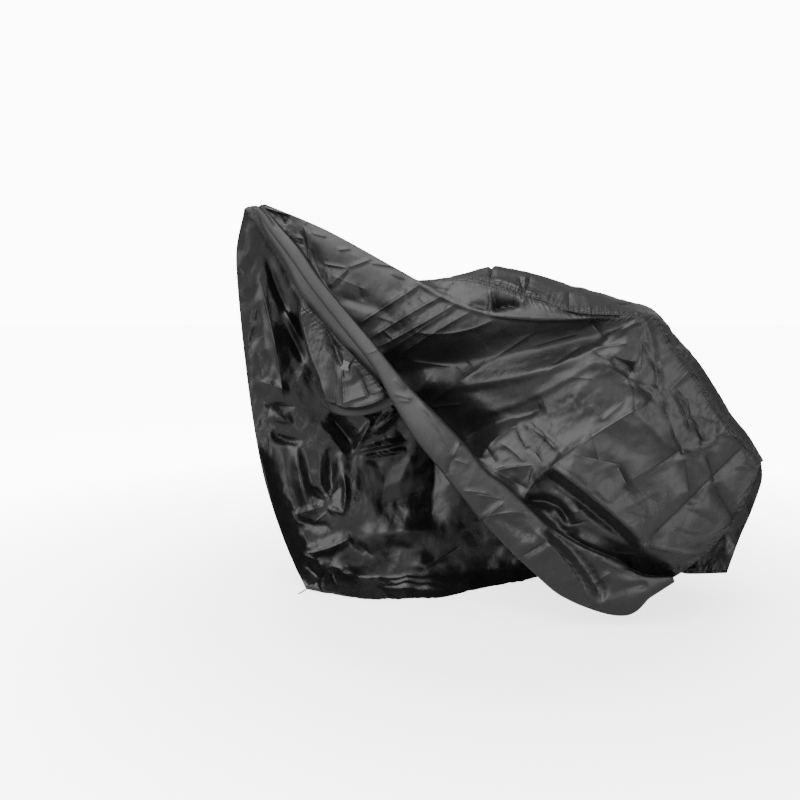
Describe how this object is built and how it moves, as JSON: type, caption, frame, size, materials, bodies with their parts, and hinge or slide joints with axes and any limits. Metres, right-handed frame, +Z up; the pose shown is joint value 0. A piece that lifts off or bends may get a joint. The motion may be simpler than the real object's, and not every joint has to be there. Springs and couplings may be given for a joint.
{
  "type": "bicycle cover",
  "caption": "Fitted bicycle cover half drawn over its bicycle: a creased hood with its near side rolled back along a diagonal, a top gusset, a hanging strap with a buckle and a cord end.",
  "frame": {"origin": "on the floor, under the middle of the cover's bounding box", "axes": "+X along the cover to its tail end, +Y from the rolled near side to the far side, +Z up"},
  "size_m": [1.7171, 0.5899, 1.269],
  "materials": {
    "coated_cloth": "satin coated black cloth",
    "webbing": "woven, matt",
    "buckle_plastic": "moulded, slightly glossy",
    "cord": "braided, matt"
  },
  "bodies": {
    "root": {"side_panel_near": "coated_cloth", "side_panel_far": "coated_cloth", "top_gusset": "coated_cloth", "closing_strap": "webbing", "strap_buckle": "buckle_plastic", "hem_drawcord": "cord"}
  },
  "joints": []
}
